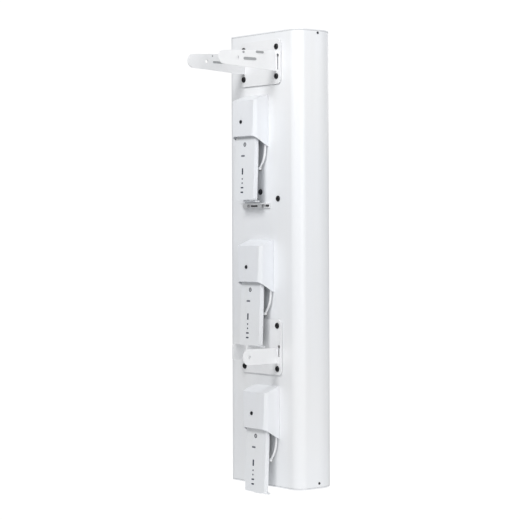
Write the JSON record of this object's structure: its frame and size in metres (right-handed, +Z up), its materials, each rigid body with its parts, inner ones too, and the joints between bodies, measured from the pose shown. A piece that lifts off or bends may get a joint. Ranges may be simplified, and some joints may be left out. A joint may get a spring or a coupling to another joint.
{
  "type": "sector antenna",
  "caption": "Tall pole-mounted sector antenna: crowned white radome, plug-on radios under weather shrouds on its flat back, upper and lower tilt brackets.",
  "frame": {"origin": "centre of the upper bracket's clamp bore, midway between its two ears", "axes": "+Z up along the panel, +Y out of the crowned front (the direction it radiates), -Y out of the flat back towards the pole, +X across"},
  "size_m": [0.2744, 0.3219, 1.0969],
  "materials": {
    "radome_shell": "smooth UV-stable white plastic, faint orange peel",
    "end_cap": "fine-textured moulded white plastic",
    "gasket": "matt grey foam rubber",
    "stainless": "plain stainless, brushed",
    "black_bolt": "black zinc, satin",
    "dark_screw": "dark grey coated steel",
    "chassis_aluminium": "mill finish",
    "circuit_board": "green solder mask",
    "coax_jacket": "tan fluoropolymer jacket",
    "jumper_jacket": "white extruded cable jacket",
    "gold_plate": "gold-plated brass",
    "nickel_plate": "dull nickel plate",
    "radio_shell": "fine-textured moulded white plastic",
    "light_window": "smoky translucent light pipe",
    "cradle_plastic": "moulded light-grey plastic",
    "button_rubber": "dark grey button",
    "door_plastic": "moulded light-grey plastic",
    "shroud_shell": "fine-textured moulded white plastic",
    "bracket_coat": "white powder coat on steel sheet",
    "rubber_pad": "matt black rubber",
    "vent": "black vent plug"
  },
  "bodies": {
    "antenna": {"radome": "radome_shell", "top_cap": "end_cap", "bottom_cap": "end_cap", "cap_gaskets": "gasket", "cap_screws": "dark_screw", "chassis_rail": "chassis_aluminium", "bulkhead_jacks": "gold_plate", "bulkhead_nuts": "nickel_plate", "ground_screw": "dark_screw", "cradle_screws": "stainless", "top_bracket": "bracket_coat", "bottom_bracket": "bracket_coat", "top_bracket_bolts": "black_bolt", "bottom_bracket_bolts": "black_bolt", "side_screws": "black_bolt", "vent_plug": "vent", "bracket_rubbers": "rubber_pad", "cable_bar": "bracket_coat", "reflector_1": "chassis_aluminium", "reflector_2": "chassis_aluminium", "reflector_3": "chassis_aluminium", "patch_board_1": "circuit_board", "patch_board_2": "circuit_board", "patch_board_3": "circuit_board", "feed_cables_1": "coax_jacket", "feed_cables_2": "coax_jacket", "feed_cables_3": "coax_jacket", "radio_front_1": "radio_shell", "radio_front_2": "radio_shell", "radio_front_3": "radio_shell", "radio_rear_1": "radio_shell", "radio_rear_2": "radio_shell", "radio_rear_3": "radio_shell", "radio_board_1": "circuit_board", "radio_board_2": "circuit_board", "radio_board_3": "circuit_board", "status_lights_1": "light_window", "status_lights_2": "light_window", "status_lights_3": "light_window", "radio_jacks_1": "nickel_plate", "radio_jacks_2": "nickel_plate", "radio_jacks_3": "nickel_plate", "radio_cradle_1": "cradle_plastic", "radio_cradle_2": "cradle_plastic", "radio_cradle_3": "cradle_plastic", "rf_jumpers_1": "jumper_jacket", "rf_jumpers_2": "jumper_jacket", "rf_jumpers_3": "jumper_jacket"},
    "shroud_body_1": {"shroud_1": "shroud_shell", "shroud_screw_1": "dark_screw"},
    "port_door_body_1": {"port_door_1": "door_plastic"},
    "reset_button_body_1": {"reset_button_1": "button_rubber"},
    "shroud_body_2": {"shroud_2": "shroud_shell", "shroud_screw_2": "dark_screw"},
    "port_door_body_2": {"port_door_2": "door_plastic"},
    "reset_button_body_2": {"reset_button_2": "button_rubber"},
    "shroud_body_3": {"shroud_3": "shroud_shell", "shroud_screw_3": "dark_screw"},
    "port_door_body_3": {"port_door_3": "door_plastic"},
    "reset_button_body_3": {"reset_button_3": "button_rubber"}
  },
  "joints": [
    {"name": "shroud_lift_off_1", "type": "slide", "parent": "antenna", "child": "shroud_body_1", "axis": [0, -1, 0], "range_m": [0, 0.06]},
    {"name": "port_door_swing_1", "type": "hinge", "parent": "antenna", "child": "port_door_body_1", "pos_m": [-0.019, 0.08892, -0.33144], "axis": [-1, 0, 0], "range_deg": [0, 100]},
    {"name": "reset_button_push_1", "type": "slide", "parent": "antenna", "child": "reset_button_body_1", "axis": [0, 0.0436, 0.999], "range_m": [0, 0.0006], "stiffness_N_per_m": 300},
    {"name": "shroud_lift_off_2", "type": "slide", "parent": "antenna", "child": "shroud_body_2", "axis": [0, -1, 0], "range_m": [0, 0.06]},
    {"name": "port_door_swing_2", "type": "hinge", "parent": "antenna", "child": "port_door_body_2", "pos_m": [0, 0.08892, -0.67744], "axis": [-1, 0, 0], "range_deg": [0, 100]},
    {"name": "reset_button_push_2", "type": "slide", "parent": "antenna", "child": "reset_button_body_2", "axis": [0, 0.0436, 0.999], "range_m": [0, 0.0006], "stiffness_N_per_m": 300},
    {"name": "shroud_lift_off_3", "type": "slide", "parent": "antenna", "child": "shroud_body_3", "axis": [0, -1, 0], "range_m": [0, 0.06]},
    {"name": "port_door_swing_3", "type": "hinge", "parent": "antenna", "child": "port_door_body_3", "pos_m": [0.019, 0.08892, -1.02344], "axis": [-1, 0, 0], "range_deg": [0, 100]},
    {"name": "reset_button_push_3", "type": "slide", "parent": "antenna", "child": "reset_button_body_3", "axis": [0, 0.0436, 0.999], "range_m": [0, 0.0006], "stiffness_N_per_m": 300}
  ]
}
